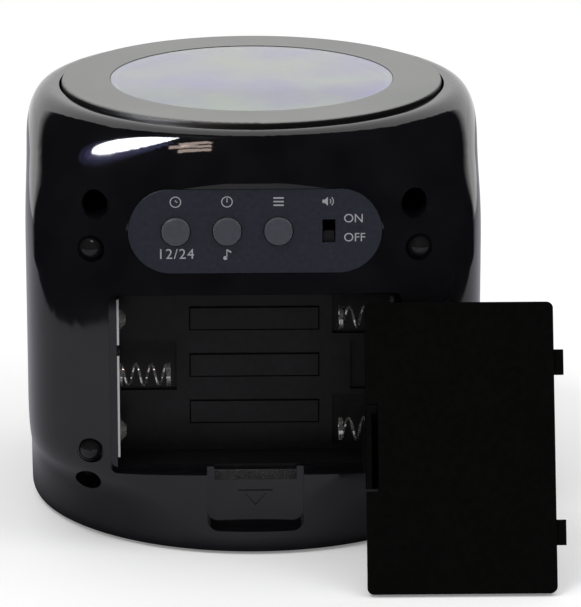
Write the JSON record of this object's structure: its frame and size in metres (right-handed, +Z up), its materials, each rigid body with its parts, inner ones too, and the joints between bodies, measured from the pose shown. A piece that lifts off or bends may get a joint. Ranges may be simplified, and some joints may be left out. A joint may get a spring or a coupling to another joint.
{
  "type": "projection alarm clock",
  "caption": "Rounded-cube projection alarm clock: display in front, round snooze button with a projector window on top, keys and an open battery bay behind, its door off, leaning on the case.",
  "frame": {"origin": "middle of the clock's footprint, on the plane that its four feet stand on", "axes": "+Z up, the display faces -Y, the battery bay faces +Y"},
  "size_m": [0.0992, 0.1075, 0.082],
  "materials": {
    "case_gloss": "high gloss black",
    "window_smoke": "smoked clear acrylic",
    "window_clear": "clear acrylic",
    "ring_silver": "satin silver paint on plastic",
    "panel_slate": "fine matt, dark blue grey",
    "key_grey": "matt grey",
    "knob_black": "fine matt black",
    "tray_black": "spark-textured black",
    "door_black": "matt black",
    "contact_nickel": "nickel-plated spring steel",
    "dome_black": "gloss black coated steel",
    "screw_steel": "zinc-plated steel",
    "foot_rubber": "black rubber",
    "board_green": "solder-masked board",
    "frame_grey": "natural grey",
    "display_glass": "polarised glass",
    "light_white": "milky white",
    "strip_rubber": "carbon-striped silicone",
    "chip_epoxy": "black epoxy",
    "magnet_grey": "ferrite in a steel cup",
    "cone_paper": "black paper",
    "lens_clear": "clear acrylic"
  },
  "bodies": {
    "case": {"front_shell": "case_gloss", "rear_shell": "case_gloss", "front_window": "window_smoke", "display_frame": "frame_grey", "display_glass": "display_glass", "display_backlight": "light_white", "contact_strips": "strip_rubber", "main_board": "board_green", "board_screws": "screw_steel", "main_chip": "chip_epoxy", "control_panel": "panel_slate", "key_board": "board_green", "key_switches": "knob_black", "slide_switch": "screw_steel", "battery_tray": "tray_black", "plate_top_left": "contact_nickel", "plate_low_left": "contact_nickel", "plate_top_right": "contact_nickel", "plate_low_right": "contact_nickel", "spring_top_row": "contact_nickel", "spring_middle_row": "contact_nickel", "spring_low_row": "contact_nickel", "case_screws": "screw_steel", "dome_screws": "dome_black", "rubber_feet": "foot_rubber", "speaker_frame": "screw_steel", "speaker_magnet": "magnet_grey", "speaker_cone": "cone_paper", "top_deck": "tray_black", "snooze_switch": "knob_black", "projector_barrel": "knob_black", "projector_lens": "lens_clear", "projector_slide": "display_glass", "projector_lamp_board": "board_green"},
    "hour_button": {"hour_button": "key_grey"},
    "minute_button": {"minute_button": "key_grey"},
    "mode_button": {"mode_button": "key_grey"},
    "slide_knob": {"slide_knob": "knob_black"},
    "battery_door": {"battery_door": "door_black"},
    "snooze_button": {"snooze_ring": "ring_silver", "snooze_window": "window_clear"}
  },
  "joints": [
    {"name": "hour_press", "type": "slide", "parent": "case", "child": "hour_button", "axis": [0, -1, 0], "range_m": [0, 0.0006], "stiffness_N_per_m": 300, "springref_m": -0.0005},
    {"name": "minute_press", "type": "slide", "parent": "case", "child": "minute_button", "axis": [0, -1, 0], "range_m": [0, 0.0006], "stiffness_N_per_m": 300, "springref_m": -0.0005},
    {"name": "mode_press", "type": "slide", "parent": "case", "child": "mode_button", "axis": [0, -1, 0], "range_m": [0, 0.0006], "stiffness_N_per_m": 300, "springref_m": -0.0005},
    {"name": "talk_slide", "type": "slide", "parent": "case", "child": "slide_knob", "axis": [0, 0, 1], "range_m": [0, 0.0022]},
    {"name": "snooze_press", "type": "slide", "parent": "case", "child": "snooze_button", "axis": [0, 0, -1], "range_m": [0, 0.0012], "stiffness_N_per_m": 700, "springref_m": -0.0015},
    {"name": "door_swing", "type": "hinge", "parent": "case", "child": "battery_door", "pos_m": [-0.01549, 0.06218, 0.01149], "axis": [-0.2012, 0.9587, 0.2012], "range_deg": [0, 92.42]}
  ]
}
